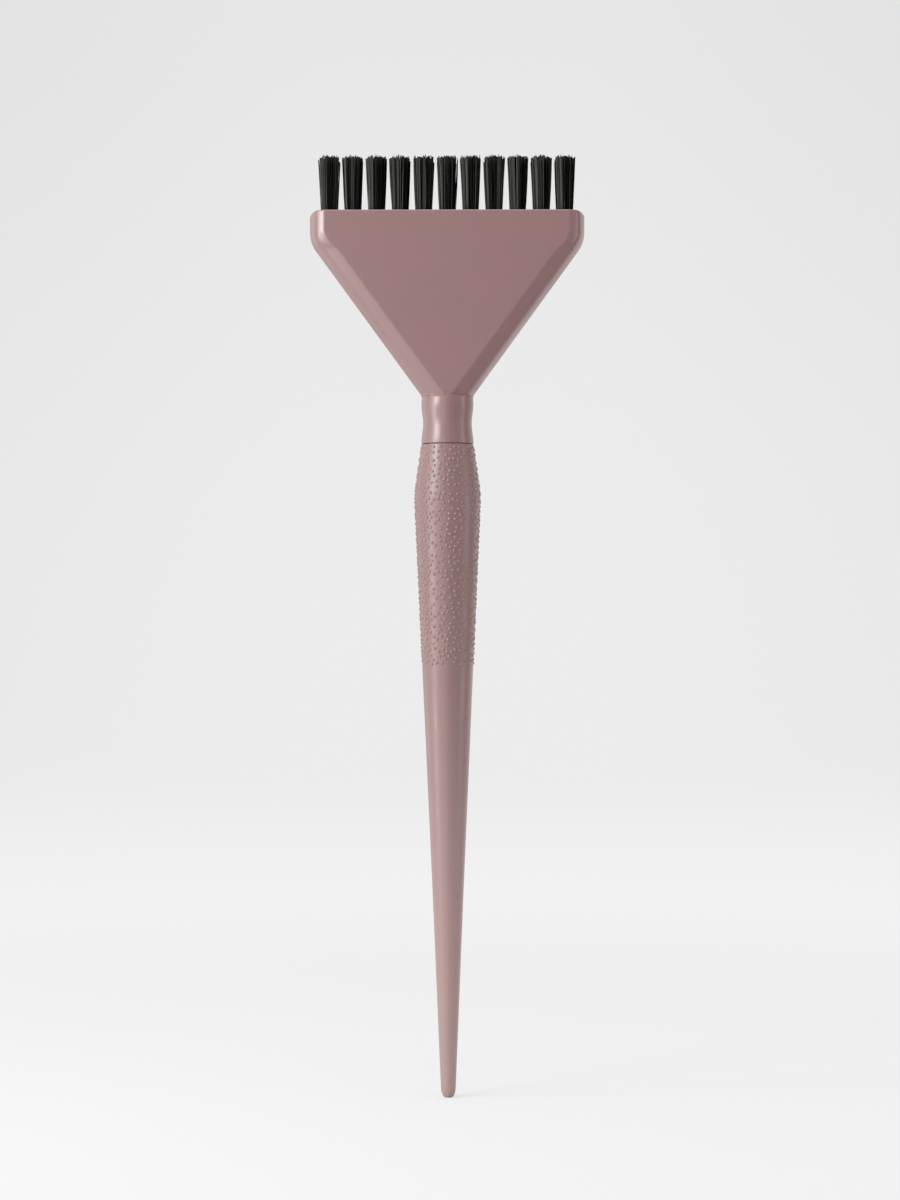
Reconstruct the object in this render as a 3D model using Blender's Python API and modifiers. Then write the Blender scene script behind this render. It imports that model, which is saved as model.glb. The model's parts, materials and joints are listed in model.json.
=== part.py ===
"""Wide tint brush: a fan-shaped head with two rows of stapled bristle tufts, on a tapered handle.

The brush stands upright: +Z runs from the handle's tip to the bristles, and the head's front
face looks towards -Y. The origin is the middle of the tip's small flat. Sizes are in metres.
"""

import math
import random

import bmesh
import bpy
from mathutils import Matrix, Vector

# Tuft holes: they set the head's width and thickness
ROWS = ("front", "back")
TUFTS_PER_ROW = 11
HOLE_DIAMETER = 0.0042
HOLE_WEB = 0.0018  # plastic between neighbouring holes, along a row and between the rows
HOLE_DEPTH = 0.0063
HOLE_FLOOR = 0.0015  # parallel-sided plastic below the holes, before the fan narrows
END_WALL = 0.0029  # plastic outside the last hole of a row
FACE_WALL = 0.0009  # plastic between a row and the front or back face

# Head
FAN_HEIGHT = 0.0469  # top face to neck
TOP_CORNER_RADIUS = 0.0020  # at the two ends of the top face
SHOULDER_RADIUS = 0.0080  # where the parallel sides turn into the slanted ones
SIDE_BAND = 0.0038  # bulging band from a flat face to the middle of an upright side
SLANT_BAND = 0.0045  # the same beside a slanted side, measured square to it
FACE_EDGE_RADIUS = 0.0004  # along the top face's long edges
NECK_LENGTH = 0.0120
NECK_TOP_DIAMETER = 0.0130
NECK_WAIST_DIAMETER = 0.0123
NECK_FOOT_DIAMETER = 0.01325
NECK_COLLAR_LENGTH = 0.0035  # plain round stretch under the fan
NECK_STEP = 0.0005  # height over which the fan's last section turns round
WAIST_RADIUS = 0.0200  # how softly the neck draws in

# Plug joint between the head's spigot and the handle's socket
SEAM_GAP = 0.0003
SOCKET_WALL = 0.0023
FIT_GAP = 0.0002
SPIGOT_LENGTH = 0.0140
SPIGOT_CHAMFER = 0.0008
BEAD_HEIGHT = 0.00035
BEAD_LENGTH = 0.0020
BEAD_FROM_END = 0.0050  # spigot's end to the middle of the bead

# Handle
HANDLE_LENGTH = 0.1665  # tip to seam
GRIP_TOP_DIAMETER = 0.0132
GRIP_DIAMETER = 0.0169  # where the flare and the long taper would meet unrounded
GRIP_DROP = 0.0128  # seam to that meeting point
GRIP_RADIUS = 0.0250
RIM_RADIUS = 0.0003
TAPER_DIAMETER = 0.0077  # partway down, where the taper bows in a little
TAPER_HEIGHT = 0.0500
TAPER_RADIUS = 6.0
TIP_DIAMETER = 0.00385
TIP_LENGTH = 0.0028  # rounded end of the taper
TIP_FLAT_DIAMETER = 0.0016

# Bristles and the flat wire anchors that staple them
BRISTLE_LENGTH = 0.0143  # above the top face
TUFT_TIP_GAP = 0.0004  # between the tips of neighbouring tufts
STRAND_RINGS = 2  # round a middle strand
STRANDS_ADDED = 6  # in each ring over the one inside it
STRAND_RADIUS = 0.00026
STRAND_SINK = 0.0004  # length fused into the root
TIP_UNEVENNESS = 0.0006
TUFT_VARIANTS = 3
ROOT_GAP = 0.0002
ROOT_RECESS = 0.0002  # root's top below the top face
FOLD_DEPTH = 0.0010  # bristle folded under the anchor
ANCHOR_THICKNESS = 0.0004
ANCHOR_HEIGHT = 0.0018
ANCHOR_BITE = 0.00025  # each end of an anchor into the hole's wall
ANCHOR_GAP = 0.0002
ANCHOR_ANGLE = math.radians(45)  # turned so that the bites miss the thin walls

# Facets
TURNED_SIDES = 40
HOLE_SIDES = 20
CORNER_STEPS = 10  # in a quarter turn, so four corners match TURNED_SIDES
TIP_STEPS = 6
ARC_STEP = math.radians(9)
CUT_MARGIN = 0.001
MERGE_DISTANCE = 1e-7
BRISTLE_SEED = 7
SMOOTH_BELOW = math.radians(35)
MOST_OF_SIDE = 0.45  # share of a straight side that one rounded corner may use
MOST_OF_WALL = 0.7  # share of a wall that a rounded edge may use

PITCH = HOLE_DIAMETER + HOLE_WEB
FAN_WIDTH = (TUFTS_PER_ROW - 1) * PITCH + HOLE_DIAMETER + 2 * END_WALL
THICKNESS = (len(ROWS) - 1) * PITCH + HOLE_DIAMETER + 2 * FACE_WALL
NECK_FOOT_Z = HANDLE_LENGTH + SEAM_GAP
NECK_TOP_Z = NECK_FOOT_Z + NECK_LENGTH
HEAD_TOP_Z = NECK_TOP_Z + FAN_HEIGHT
SOCKET_RADIUS = GRIP_TOP_DIAMETER / 2 - SOCKET_WALL
SPIGOT_RADIUS = SOCKET_RADIUS - FIT_GAP
SPIGOT_END_Z = NECK_FOOT_Z - SPIGOT_LENGTH
BEAD_Z = SPIGOT_END_Z + BEAD_FROM_END
ROOT_RADIUS = HOLE_DIAMETER / 2 - ROOT_GAP
ANCHOR_Z = -HOLE_DEPTH + ROOT_GAP + FOLD_DEPTH + ANCHOR_HEIGHT / 2  # from the top face
ANCHOR_LENGTH = HOLE_DIAMETER + 2 * ANCHOR_BITE


def clear_scene():
    for obj in list(bpy.data.objects):
        bpy.data.objects.remove(obj, do_unlink=True)


def new_collection(name):
    collection = bpy.data.collections.new(name)
    bpy.context.scene.collection.children.link(collection)
    return collection


def finish_material(name, colour, roughness, metallic=0.0):
    material = bpy.data.materials.new(name)
    material.use_nodes = True
    shader = material.node_tree.nodes["Principled BSDF"]
    shader.inputs["Base Color"].default_value = (*colour, 1.0)
    shader.inputs["Roughness"].default_value = roughness
    shader.inputs["Metallic"].default_value = metallic
    return material


def place(name, mesh, collection, parent=None, material=None):
    """A named object holding this mesh, at its parent's place."""
    obj = bpy.data.objects.new(name, mesh)
    collection.objects.link(obj)
    obj.parent = parent
    if material and not mesh.materials:
        mesh.materials.append(material)
    return obj


def as_cutter(obj):
    obj.hide_render = True
    obj.display_type = "WIRE"
    return obj


def mesh_from(bm, name):
    mesh = bpy.data.meshes.new(name)
    bm.to_mesh(mesh)
    bm.free()
    return mesh


def smooth(mesh):
    mesh.shade_smooth()
    mesh.set_sharp_from_angle(angle=SMOOTH_BELOW)


def cylinder_mesh(name, radius, low, high, sides):
    bm = bmesh.new()
    middle = Matrix.Translation((0, 0, (low + high) / 2))
    bmesh.ops.create_cone(
        bm, cap_ends=True, segments=sides, radius1=radius, radius2=radius, depth=high - low, matrix=middle
    )
    return mesh_from(bm, name)


def box_mesh(name, size, centre, turn):
    bm = bmesh.new()
    matrix = Matrix.Translation(centre) @ Matrix.Rotation(turn, 4, "Z") @ Matrix.Diagonal((*size, 1))
    bmesh.ops.create_cube(bm, size=1, matrix=matrix)
    return mesh_from(bm, name)


def rounded_path(corners):
    """Points along straight sides between (r, z, radius) corners, each corner turned by an arc."""
    points = [Vector(corners[0][:2])]
    for before, here, after in zip(corners, corners[1:], corners[2:]):
        corner = Vector(here[:2])
        back = Vector(before[:2]) - corner
        ahead = Vector(after[:2]) - corner
        turn = math.pi - back.angle(ahead)
        reach = min(here[2] * math.tan(turn / 2), MOST_OF_SIDE * back.length, MOST_OF_SIDE * ahead.length)
        if reach <= 0:
            points.append(corner)
            continue
        radius = reach / math.tan(turn / 2)
        inward = (back.normalized() + ahead.normalized()).normalized()
        centre = corner + inward * math.hypot(radius, reach)
        arm = corner + back.normalized() * reach - centre
        sense = math.copysign(1, ahead.x * back.y - ahead.y * back.x)
        steps = max(2, math.ceil(turn / ARC_STEP))
        for step in range(steps + 1):
            points.append(centre + Matrix.Rotation(sense * turn * step / steps, 2) @ arm)
    points.append(Vector(corners[-1][:2]))
    return points


def section(half_width, half_depth, band, z, stretch=1.0):
    """A level ring, anticlockwise from +X: two flat faces and two sides that bulge as arcs.

    An arc runs from the middle of its side to the edge of a flat face, which is one band further
    in. The stretch widens it where the side slants. A band of the full half width gives a circle.
    """
    band = min(band, half_depth, half_width / stretch)
    radius = (half_depth**2 + band**2) / (2 * band)
    sweep = 2 * math.atan2(band, half_depth)
    ring = []
    for side_x, side_y in ((1, 1), (-1, 1), (-1, -1), (1, -1)):
        for step in range(CORNER_STEPS + 1):
            share = step / CORNER_STEPS
            angle = sweep * (share if side_x == side_y else 1 - share)
            x = half_width - stretch * radius * (1 - math.cos(angle))
            ring.append(Vector((side_x * x, side_y * radius * math.sin(angle), z)))
    return ring


def loft_mesh(name, sections):
    """A closed skin through the sections, which run from top to bottom."""
    bm = bmesh.new()
    rings = [[bm.verts.new(point) for point in ring] for ring in sections]
    count = len(rings[0])
    bm.faces.new(rings[0])
    for upper, lower in zip(rings, rings[1:]):
        for i in range(count):
            j = (i + 1) % count
            bm.faces.new((upper[i], lower[i], lower[j], upper[j]))
    bm.faces.new(list(reversed(rings[-1])))
    bmesh.ops.remove_doubles(bm, verts=bm.verts, dist=MERGE_DISTANCE)
    bmesh.ops.recalc_face_normals(bm, faces=bm.faces)
    return mesh_from(bm, name)


def lean(upper, lower):
    """Angle from upright of the outline between two of its points."""
    return math.atan2(upper.x - lower.x, upper.y - lower.y)


def fan_sections():
    """Sections from the top face down to the neck, from the fan's front outline."""
    top_corner = min(TOP_CORNER_RADIUS, MOST_OF_WALL * END_WALL)
    face_edge = min(FACE_EDGE_RADIUS, MOST_OF_WALL * FACE_WALL)
    outline = rounded_path(
        [
            (0, HEAD_TOP_Z, 0),
            (FAN_WIDTH / 2, HEAD_TOP_Z, top_corner),
            (FAN_WIDTH / 2, HEAD_TOP_Z - HOLE_DEPTH - HOLE_FLOOR, SHOULDER_RADIUS),
            (NECK_TOP_DIAMETER / 2, NECK_TOP_Z, 0),
        ]
    )[1:]
    slant = lean(outline[-2], outline[-1])
    sections = []
    for before, here, after in zip(outline[:1] + outline, outline, outline[1:] + outline[-1:]):
        half_width, z = here
        drop = HEAD_TOP_Z - z
        short = max(face_edge - drop, 0)
        half_depth = THICKNESS / 2 - face_edge + math.sqrt(max(face_edge**2 - short**2, 0))
        if drop < top_corner:
            band = SIDE_BAND - (FAN_WIDTH / 2 - half_width)
            stretch = 1.0
        else:
            tilt = lean(before, after)
            band = SIDE_BAND + (SLANT_BAND - SIDE_BAND) * tilt / slant
            stretch = 1 / math.cos(tilt)
        sections.append(section(half_width, half_depth, band, z, stretch))
    return sections


def bead_corners(radius):
    """A low ring with sloped sides on a cylinder of this radius, from top to bottom."""
    half = BEAD_LENGTH / 2
    return [
        (radius, BEAD_Z + half, 0),
        (radius + BEAD_HEIGHT, BEAD_Z + half - BEAD_HEIGHT, 0),
        (radius + BEAD_HEIGHT, BEAD_Z - half + BEAD_HEIGHT, 0),
        (radius, BEAD_Z - half, 0),
    ]


def neck_sections():
    """Round sections of the neck, with its drawn-in waist, and of the spigot below the seam."""
    collar_z = NECK_TOP_Z - NECK_COLLAR_LENGTH
    profile = rounded_path(
        [
            (NECK_TOP_DIAMETER / 2, NECK_TOP_Z - NECK_STEP, 0),
            (NECK_TOP_DIAMETER / 2, collar_z, WAIST_RADIUS),
            (NECK_WAIST_DIAMETER / 2, (collar_z + NECK_FOOT_Z) / 2, WAIST_RADIUS),
            (NECK_FOOT_DIAMETER / 2, NECK_FOOT_Z, RIM_RADIUS),
            (SPIGOT_RADIUS, NECK_FOOT_Z, 0),
            *bead_corners(SPIGOT_RADIUS),
            (SPIGOT_RADIUS, SPIGOT_END_Z + SPIGOT_CHAMFER, 0),
            (SPIGOT_RADIUS - SPIGOT_CHAMFER, SPIGOT_END_Z, 0),
        ]
    )
    return [section(radius, radius, radius, z) for radius, z in profile]


def make_head(collection, cutters, material):
    mesh = loft_mesh("head", fan_sections() + neck_sections())
    smooth(mesh)
    head = place("head", mesh, collection, material=material)
    drill = head.modifiers.new("tuft_holes", "BOOLEAN")
    drill.operation = "DIFFERENCE"
    drill.operand_type = "COLLECTION"
    drill.collection = cutters
    return head


def make_handle(collection, material):
    """A turned profile: up the socket, over the rim, down the grip and taper, round the tip."""
    socket_floor = SPIGOT_END_Z - FIT_GAP
    inside = [(0, socket_floor, 0), (SOCKET_RADIUS, socket_floor, 0)]
    inside += reversed(bead_corners(SOCKET_RADIUS))
    outside = [
        (SOCKET_RADIUS, HANDLE_LENGTH, 0),
        (GRIP_TOP_DIAMETER / 2, HANDLE_LENGTH, RIM_RADIUS),
        (GRIP_DIAMETER / 2, HANDLE_LENGTH - GRIP_DROP, GRIP_RADIUS),
        (TAPER_DIAMETER / 2, TAPER_HEIGHT, TAPER_RADIUS),
        (TIP_DIAMETER / 2, TIP_LENGTH, 0),
    ]
    profile = rounded_path(inside + outside)
    flat = TIP_FLAT_DIAMETER / 2
    for step in range(1, TIP_STEPS + 1):
        angle = math.pi / 2 * step / TIP_STEPS
        radius = flat + (TIP_DIAMETER / 2 - flat) * math.cos(angle)
        profile.append(Vector((radius, TIP_LENGTH * (1 - math.sin(angle)))))
    profile.append(Vector((0, 0)))
    mesh = bpy.data.meshes.new("handle")
    points = [(radius, 0, z) for radius, z in profile]
    mesh.from_pydata(points, [(i, i + 1) for i in range(len(points) - 1)], [])
    handle = place("handle", mesh, collection, material=material)
    turn = handle.modifiers.new("turned", "SCREW")
    turn.steps = TURNED_SIDES
    turn.render_steps = TURNED_SIDES
    turn.use_merge_vertices = True
    turn.merge_threshold = MERGE_DISTANCE
    turn.use_smooth_shade = True
    return handle


def strands_mesh(name, draw):
    """Three-sided strands in rings that spread evenly from root to tip, so none cross."""
    base_spread = ROOT_RADIUS * math.cos(math.pi / HOLE_SIDES) - STRAND_RADIUS
    tip_spread = (PITCH - TUFT_TIP_GAP) / 2 - STRAND_RADIUS
    base_z = -ROOT_RECESS - STRAND_SINK
    spots = [Vector((0, 0, 0))]
    for ring in range(1, STRAND_RINGS + 1):
        count = STRANDS_ADDED * ring
        for i in range(count):
            turn = Matrix.Rotation(math.tau * i / count, 3, "Z")
            spots.append(turn @ Vector((ring / STRAND_RINGS, 0, 0)))
    bm = bmesh.new()
    for spot in spots:
        shorter = TIP_UNEVENNESS * draw.random() if spot.length else 0
        base = spot * base_spread + Vector((0, 0, base_z))
        tip = spot * tip_spread + Vector((0, 0, BRISTLE_LENGTH - shorter))
        along = tip - base
        matrix = Matrix.Translation((base + tip) / 2) @ along.to_track_quat("Z", "Y").to_matrix().to_4x4()
        bmesh.ops.create_cone(
            bm,
            cap_ends=True,
            segments=3,
            radius1=STRAND_RADIUS,
            radius2=STRAND_RADIUS,
            depth=along.length,
            matrix=matrix,
        )
    return mesh_from(bm, name)


def tuft_mesh(name, draw, collection, pocket, material):
    """Strands fused to the round root that fills a hole, with a tunnel where the anchor passes."""
    root_mesh = cylinder_mesh(name, ROOT_RADIUS, -HOLE_DEPTH + ROOT_GAP, -ROOT_RECESS, HOLE_SIDES)
    root = as_cutter(place(name + "_root", root_mesh, collection))
    strands = as_cutter(place(name + "_strands", strands_mesh(name, draw), collection))
    tunnel = as_cutter(place(name + "_tunnel", pocket, collection))
    for operation, other in (("UNION", strands), ("DIFFERENCE", tunnel)):
        step = root.modifiers.new(operation.lower(), "BOOLEAN")
        step.operation = operation
        step.object = other
    bpy.context.view_layer.update()
    graph = bpy.context.evaluated_depsgraph_get()
    fused = bpy.data.meshes.new_from_object(root.evaluated_get(graph))
    fused.name = name
    fused.materials.clear()
    fused.materials.append(material)
    for helper in (root, strands, tunnel):
        bpy.data.objects.remove(helper, do_unlink=True)
    return fused


def tuft_stations(collection):
    """One empty at the mouth of each hole, with the name that its pieces share."""
    stations = []
    for j, row in enumerate(ROWS):
        y = (j - (len(ROWS) - 1) / 2) * PITCH
        for i in range(TUFTS_PER_ROW):
            x = (i - (TUFTS_PER_ROW - 1) / 2) * PITCH
            name = f"{row}_{i + 1:02d}"
            station = bpy.data.objects.new("station_" + name, None)
            collection.objects.link(station)
            station.location = (x, y, HEAD_TOP_Z)
            station.empty_display_size = HOLE_DIAMETER
            stations.append((station, name))
    return stations


def main():
    clear_scene()
    brush = new_collection("tint_brush")
    cutters = new_collection("cutters")
    head_plastic = finish_material("head_plastic", (0.33, 0.20, 0.20), 0.38)
    handle_plastic = finish_material("handle_plastic", (0.33, 0.20, 0.20), 0.48)
    bristle_nylon = finish_material("bristle_nylon", (0.012, 0.014, 0.010), 0.45)
    anchor_brass = finish_material("anchor_brass", (0.72, 0.58, 0.30), 0.30, 1.0)

    centre = (0, 0, ANCHOR_Z)
    anchor_size = Vector((ANCHOR_LENGTH, ANCHOR_THICKNESS, ANCHOR_HEIGHT))
    pocket_size = anchor_size + Vector((2 * ANCHOR_GAP,) * 3)
    anchor_mesh = box_mesh("anchor", anchor_size, centre, ANCHOR_ANGLE)
    pocket_mesh = box_mesh("anchor_pocket", pocket_size, centre, ANCHOR_ANGLE)
    hole_mesh = cylinder_mesh("tuft_hole", HOLE_DIAMETER / 2, -HOLE_DEPTH, CUT_MARGIN, HOLE_SIDES)
    draw = random.Random(BRISTLE_SEED)
    tufts = [
        tuft_mesh(f"tuft_{n}", draw, cutters, pocket_mesh, bristle_nylon) for n in range(TUFT_VARIANTS)
    ]

    make_head(brush, cutters, head_plastic)
    make_handle(brush, handle_plastic)
    for station, name in tuft_stations(brush):
        as_cutter(place("hole_" + name, hole_mesh, cutters, station))
        as_cutter(place("bite_" + name, pocket_mesh, cutters, station))
        tuft = place("tuft_" + name, draw.choice(tufts), brush, station)
        tuft.rotation_euler.z = math.pi * draw.randint(0, 1)
        place("anchor_" + name, anchor_mesh, brush, station, anchor_brass)


main()
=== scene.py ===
# %% [markdown]
# # A wide tint brush
# This brush spreads hair colour. It is two rose-coloured mouldings, a fan-shaped head and a dotted
# handle, with two rows of black nylon tufts in the head's top. The measured solids are loaded first and
# never moved. Each later step lays a finer surface over one of them and gives it its finish. All sizes
# are in metres, +Z runs from the handle's tip to the bristles, and the front face looks towards -Y.

# %% Load the measured solids
import json
import math
import random

import bmesh
import bpy
from mathutils import Matrix, Vector

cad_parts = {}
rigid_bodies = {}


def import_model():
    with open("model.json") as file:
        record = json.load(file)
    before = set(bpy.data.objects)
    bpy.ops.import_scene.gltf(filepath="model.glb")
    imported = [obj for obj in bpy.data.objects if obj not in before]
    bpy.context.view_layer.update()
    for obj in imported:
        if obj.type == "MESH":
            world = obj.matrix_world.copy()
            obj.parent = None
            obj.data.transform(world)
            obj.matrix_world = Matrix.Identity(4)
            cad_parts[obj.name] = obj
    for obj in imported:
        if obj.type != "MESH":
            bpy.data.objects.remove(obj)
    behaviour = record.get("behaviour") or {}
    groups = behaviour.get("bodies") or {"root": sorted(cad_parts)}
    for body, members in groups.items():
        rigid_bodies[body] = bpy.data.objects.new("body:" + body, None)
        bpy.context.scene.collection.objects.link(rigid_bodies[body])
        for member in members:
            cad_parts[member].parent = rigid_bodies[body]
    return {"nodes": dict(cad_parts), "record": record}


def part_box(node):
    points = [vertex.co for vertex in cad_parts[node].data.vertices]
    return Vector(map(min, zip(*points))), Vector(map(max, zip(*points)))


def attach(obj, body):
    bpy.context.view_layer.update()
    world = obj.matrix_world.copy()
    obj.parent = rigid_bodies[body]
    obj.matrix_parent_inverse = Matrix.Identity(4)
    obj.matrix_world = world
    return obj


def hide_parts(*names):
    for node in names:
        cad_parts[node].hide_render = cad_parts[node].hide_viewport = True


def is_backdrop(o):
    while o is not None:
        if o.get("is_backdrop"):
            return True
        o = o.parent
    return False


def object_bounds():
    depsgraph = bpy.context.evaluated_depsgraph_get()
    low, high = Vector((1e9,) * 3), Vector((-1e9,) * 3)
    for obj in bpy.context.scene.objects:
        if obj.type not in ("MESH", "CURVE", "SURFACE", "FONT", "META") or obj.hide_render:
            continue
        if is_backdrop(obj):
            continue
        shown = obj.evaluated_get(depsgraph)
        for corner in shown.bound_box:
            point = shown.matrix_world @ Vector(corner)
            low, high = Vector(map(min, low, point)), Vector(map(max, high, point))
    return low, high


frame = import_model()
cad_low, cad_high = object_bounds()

scene = bpy.context.scene
scene.view_settings.view_transform = "Standard"
print("solids loaded:", len(frame["nodes"]), "box in mm:", [round(1000 * s, 1) for s in cad_high - cad_low])

# %% [markdown]
# Before modelling over a solid, read where it is. A node's box gives its lowest and highest corners, and
# the record's mounts give the flat faces. Taking the places from there, and not from memory, keeps
# every new surface on the piece that it stands for.

# %% Read the places that the pieces share
head_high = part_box("head")[1]
HEAD_TOP = head_high.z
FAN_HALF_WIDTH = head_high.x
HANDLE_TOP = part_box("handle")[1].z
BRISTLE_TIP = cad_high.z
FACE_HALF_DEPTH = next(m["pos_m"][1] for m in frame["record"]["mounts"] if m["name"] == "back_face")

hole_places = {}
for node in sorted(frame["nodes"]):
    if node.startswith("anchor_"):
        low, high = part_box(node)
        hole_places[node.removeprefix("anchor_")] = ((low + high) / 2).to_2d()
print("head top at", round(1000 * HEAD_TOP, 1), "mm, tuft holes:", len(hole_places))

# %% [markdown]
# The photograph looks straight at the front face, with the camera level and about half as high as the
# brush. A long lens from 0.7 m matches how little the seam's circle curves. The head's width gives
# the scale of one pixel, and the row of the handle's tip gives the camera's height. The brush leans by
# a twelfth of a degree in the picture, so the camera is rolled by that much.

# %% Place the camera
PHOTO_WIDTH, PHOTO_HEIGHT = 900, 1200
HEAD_PIXELS = 274.3  # width of the head in the photograph
TIP_ROW = 1097  # row of the handle's lowest point
AXIS_COLUMN = 447.7  # column of the handle's middle
CAMERA_DISTANCE = 0.70
CAMERA_ROLL = math.radians(0.08)


def add_object(name, data):
    obj = bpy.data.objects.new(name, data)
    scene.collection.objects.link(obj)
    return obj


metres_per_pixel = 2 * FAN_HALF_WIDTH / HEAD_PIXELS
camera_data = bpy.data.cameras.new("photo_camera")
camera_data.lens = camera_data.sensor_width * CAMERA_DISTANCE / (PHOTO_HEIGHT * metres_per_pixel)
camera = add_object("photo_camera", camera_data)
camera.location = (
    (PHOTO_WIDTH / 2 - AXIS_COLUMN) * metres_per_pixel,
    -CAMERA_DISTANCE,
    (TIP_ROW - PHOTO_HEIGHT / 2) * metres_per_pixel,
)
camera.rotation_euler = (math.radians(90), CAMERA_ROLL, 0)
scene.camera = camera
print("lens", round(camera_data.lens, 1), "mm, camera height", round(1000 * camera.location.z, 1), "mm")

# %% [markdown]
# The studio is a bowl of pale paper: a flat floor that curves up into a wall on every side, so no view
# finds a horizon. A turned shape like this is a profile with a Screw modifier. Seen by the camera or in a
# reflection, the paper shows its own pale tone. Around the tip it is ordinary paper too, lit by
# the lamps, so it keeps the brush's shadow.

# %% Turn the studio bowl
FLOOR_RADIUS = 1.6
BOWL_CURVE = 0.9
BOWL_HEIGHT = 1.1
CURVE_STEPS = 24
BOWL_STEPS = 96
MERGE_DISTANCE = 1e-7  # points nearer than this become one


def bowl_profile():
    """The floor from its middle outwards, then the curve and the wall."""
    points = [(0, 0, 0), (FLOOR_RADIUS, 0, 0)]
    for step in range(1, CURVE_STEPS + 1):
        angle = math.pi / 2 * step / CURVE_STEPS
        reach = FLOOR_RADIUS + BOWL_CURVE * math.sin(angle)
        points.append((reach, 0, BOWL_CURVE * (1 - math.cos(angle))))
    points.append((FLOOR_RADIUS + BOWL_CURVE, 0, BOWL_HEIGHT))
    return points


def turned_mesh(name, points, steps):
    """An object whose profile a Screw modifier turns once round the Z axis."""
    mesh = bpy.data.meshes.new(name)
    mesh.from_pydata(points, [(i, i + 1) for i in range(len(points) - 1)], [])
    obj = add_object(name, mesh)
    turn = obj.modifiers.new("turn", "SCREW")
    turn.steps = turn.render_steps = steps
    turn.use_merge_vertices = True
    turn.merge_threshold = MERGE_DISTANCE
    turn.use_smooth_shade = True
    return obj


bowl = turned_mesh("studio_bowl", bowl_profile(), BOWL_STEPS)
bowl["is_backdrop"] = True
print("studio bowl:", 2 * (FLOOR_RADIUS + BOWL_CURVE), "m across")

# %% [markdown]
# Shader nodes are easier to read when a helper adds each one with its values, and a second helper links
# sockets by name. The paper's tone is a ramp over its height and its distance from the brush: brightest
# near the tip, a little darker far back and to the sides, as in the photograph. In reflections only, its
# level also changes round the brush: bright on the left and behind, nearly black on the right. A
# photographer does the same with white and black boards that stand just outside the picture.

# %% Give the bowl its paper
PAPER_NEAR = 0.890  # tone round the tip
PAPER_FAR = 0.838  # far out on the floor
PAPER_HIGH = 0.790  # at the top of the wall
PAPER_LIT = 0.70  # the paper's own colour, where lamps light it
NEAR_TO_FAR = (0.25, 1.3)  # distances from the brush between which the tone changes
LOW_TO_HIGH = (0.1, 1.0)  # and heights
SIDE_FALL = 0.035  # how much darker the wall is away from the middle
MIDDLE_TO_SIDE = (0.1, 0.6)  # distances to the left or right over which it sets in
SIDE_FALL_AWAY = (0.6, 1.6)  # and distances from the brush
MIRRORED_LEFT = 1.40  # how much of its tone the paper shows in a reflection, on the lamps' side
MIRRORED_RIGHT = 0.12
MIRRORED_BACK = 1.25
MIRRORED_LEFT_BACK = 0.50  # share of the left's level that is kept towards the back
MIRRORED_BACK_LEFT = 0.72  # share of the back's level that is kept towards the left
LEFT_TO_RIGHT = (-0.2, 0.1)  # sideways part of the direction from the brush, where the left's level ends
SIDE_TO_BACK = (0.25, 0.65)  # backward part of it, where the back's level starts
LEFT_FADES = (0.4, 0.95)  # backward part, where the left's level falls to its share
BACK_FILLS = (-0.4, 0.2)  # sideways part, where the back's level is full
SHADOW_SHARE = 0.36  # of the lit paper in what the camera sees round the tip
SHADOW_NEAR = 0.10
SHADOW_FAR = 0.50
NODE_COLUMNS = 8
NODE_LEFT, NODE_WIDTH, NODE_HEIGHT = -2200, 240, 360  # in the node editor


def new_node(tree, kind):
    """A node in the next free place of a grid, so that none hides another."""
    row, column = divmod(len(tree.nodes), NODE_COLUMNS)
    node = tree.nodes.new(kind)
    node.location = (NODE_LEFT + NODE_WIDTH * column, -NODE_HEIGHT * row)
    return node


def set_sockets(node, sockets):
    """Gives sockets their values; the names have underscores for spaces."""
    for name, value in sockets.items():
        node.inputs[name.replace("_", " ")].default_value = value
    return node


def add_node(tree, kind, **sockets):
    """A new node with values for some of its sockets."""
    return set_sockets(new_node(tree, kind), sockets)


def join(tree, out_node, out_name, in_node, in_name):
    """Links two sockets, each given by its name or number."""
    tree.links.new(out_node.outputs[out_name], in_node.inputs[in_name])


def math_node(tree, operation, first, second=None):
    """A Math node whose operands are sockets or numbers."""
    node = new_node(tree, "ShaderNodeMath")
    node.operation = operation
    for socket, operand in zip(node.inputs, (first, second)):
        if isinstance(operand, (int, float)):
            socket.default_value = operand
        elif operand is not None:
            tree.links.new(operand, socket)
    return node.outputs[0]


def span_node(tree, value, low, high, to_low, to_high):
    """A Map Range node that eases between two levels."""
    node = new_node(tree, "ShaderNodeMapRange")
    node.interpolation_type = "SMOOTHSTEP"
    for name, number in (("From Min", low), ("From Max", high), ("To Min", to_low), ("To Max", to_high)):
        node.inputs[name].default_value = number
    tree.links.new(value, node.inputs["Value"])
    return node.outputs["Result"]


def mix_shaders(tree, share, first, second):
    """A Mix Shader node between two shader nodes."""
    node = new_node(tree, "ShaderNodeMixShader")
    tree.links.new(share, node.inputs["Fac"])
    join(tree, first, 0, node, 1)
    join(tree, second, 0, node, 2)
    return node


def paper_tone(tree, x, z, distance):
    """The paper's tone: brightest near the brush, darker high up and at the far sides."""
    near = span_node(tree, distance, *NEAR_TO_FAR, PAPER_NEAR, PAPER_FAR)
    high = span_node(tree, z, *LOW_TO_HIGH, 1.0, PAPER_HIGH / PAPER_FAR)
    aside = math_node(tree, "ABSOLUTE", x)
    aside = span_node(tree, aside, *MIDDLE_TO_SIDE, 0.0, SIDE_FALL)
    away = span_node(tree, distance, *SIDE_FALL_AWAY, 0.0, 1.0)
    fall = math_node(tree, "MULTIPLY", aside, away)
    rest = math_node(tree, "SUBTRACT", 1.0, fall)
    tone = math_node(tree, "MULTIPLY", near, high)
    return math_node(tree, "MULTIPLY", tone, rest)


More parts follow.
